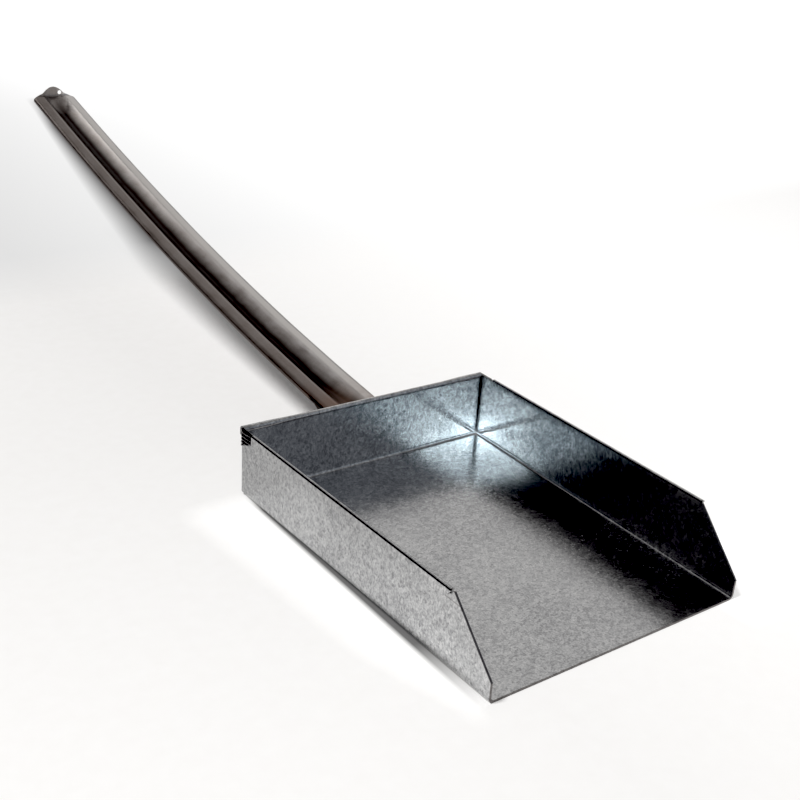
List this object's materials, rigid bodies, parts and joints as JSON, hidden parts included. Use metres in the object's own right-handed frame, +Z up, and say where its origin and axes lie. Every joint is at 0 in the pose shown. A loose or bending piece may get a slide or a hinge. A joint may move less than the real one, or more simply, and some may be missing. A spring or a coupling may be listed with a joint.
{
  "type": "long-handled dustpan",
  "caption": "Folded zinc-coated steel scoop with a sloped open mouth, spot-welded to a long curved pressed-steel handle with a turned-up end for hanging.",
  "frame": {"origin": "centre of the pan's flat underside", "axes": "+Z up, +Y from the open mouth towards the handle, +X across the pan to the right seen from the mouth"},
  "size_m": [0.1242, 0.5251, 0.0999],
  "materials": {
    "galvanised_steel": "mill galvanised sheet, fine mottled zinc grain, satin",
    "bare_steel": "bare rolled steel, warm dark grey, satin, brown heat tint at the welded end",
    "weld_steel": "resistance weld, heat darkened"
  },
  "bodies": {
    "root": {"pan": "galvanised_steel", "handle": "bare_steel", "spot_welds": "weld_steel"}
  },
  "joints": []
}
